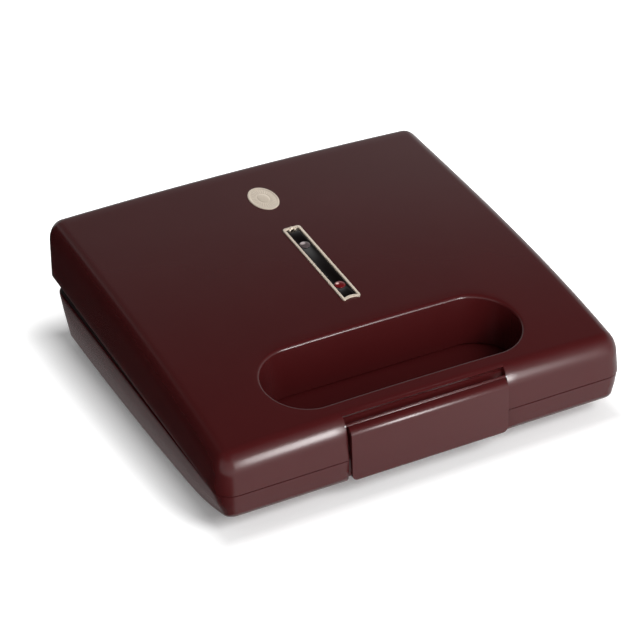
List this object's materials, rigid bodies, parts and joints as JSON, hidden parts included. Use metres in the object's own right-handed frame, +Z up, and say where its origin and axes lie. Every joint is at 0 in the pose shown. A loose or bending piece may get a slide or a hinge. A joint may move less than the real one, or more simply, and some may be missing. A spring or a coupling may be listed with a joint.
{
  "type": "sandwich toaster",
  "caption": "Sandwich toaster: wedge-shaped hinged lid with a hand well, indicator strip and full-height front clip over ridged non-stick plates.",
  "frame": {"origin": "centre of the overall box on the plane that the feet stand on", "axes": "+X to the right seen from the clip, +Y from the clip to the hinges, +Z up"},
  "size_m": [0.232, 0.2308, 0.076],
  "materials": {
    "burgundy_plastic": "satin-gloss burgundy moulding",
    "dark_plastic": "heat-resistant black moulding",
    "nonstick": "non-stick coated cast aluminium",
    "steel": "plain steel",
    "aluminium_sheet": "bright sheet",
    "ceramic": "cream insulating ceramic",
    "rubber": "matte black rubber",
    "rose_metal": "polished rose-gold plating",
    "black_gloss": "polished black",
    "board": "bare circuit board",
    "red_lens": "polished red lens",
    "clear_lens": "polished clear lens"
  },
  "bodies": {
    "base": {"base_shell": "burgundy_plastic", "front_deck": "burgundy_plastic", "base_frame": "dark_plastic", "lower_plate": "nonstick", "lower_element": "steel", "lower_reflector": "aluminium_sheet", "lower_plate_screws": "steel", "thermostat": "ceramic", "terminal_block": "ceramic", "hinge_post_left": "dark_plastic", "hinge_post_right": "dark_plastic", "hinge_pin_left": "steel", "hinge_pin_right": "steel", "foot_front_left": "rubber", "foot_front_right": "rubber", "foot_rear_left": "rubber", "foot_rear_right": "rubber", "base_screws": "steel", "cord_grommet": "dark_plastic"},
    "lid": {"lid_shell": "burgundy_plastic", "lid_frame": "dark_plastic", "upper_plate": "nonstick", "upper_element": "steel", "upper_reflector": "aluminium_sheet", "upper_plate_screws": "steel", "thermal_fuse": "ceramic", "lid_hinge_left": "steel", "lid_hinge_right": "steel", "lid_hinge_screws": "steel", "lid_screws": "steel", "indicator_bezel": "rose_metal", "indicator_window": "black_gloss", "lamp_carrier": "board", "red_lamp": "red_lens", "clear_lamp": "clear_lens", "medallion": "rose_metal", "clip_pin": "steel"},
    "clip": {"clip": "burgundy_plastic"}
  },
  "joints": [
    {"name": "lid_hinge", "type": "hinge", "parent": "base", "child": "lid", "pos_m": [0, 0.10735, 0.0392], "axis": [-1, 0, 0], "range_deg": [0, 105]},
    {"name": "clip_pivot", "type": "hinge", "parent": "lid", "child": "clip", "pos_m": [0, -0.11025, 0.0443], "axis": [-1, 0, 0], "range_deg": [0, 35]}
  ]
}
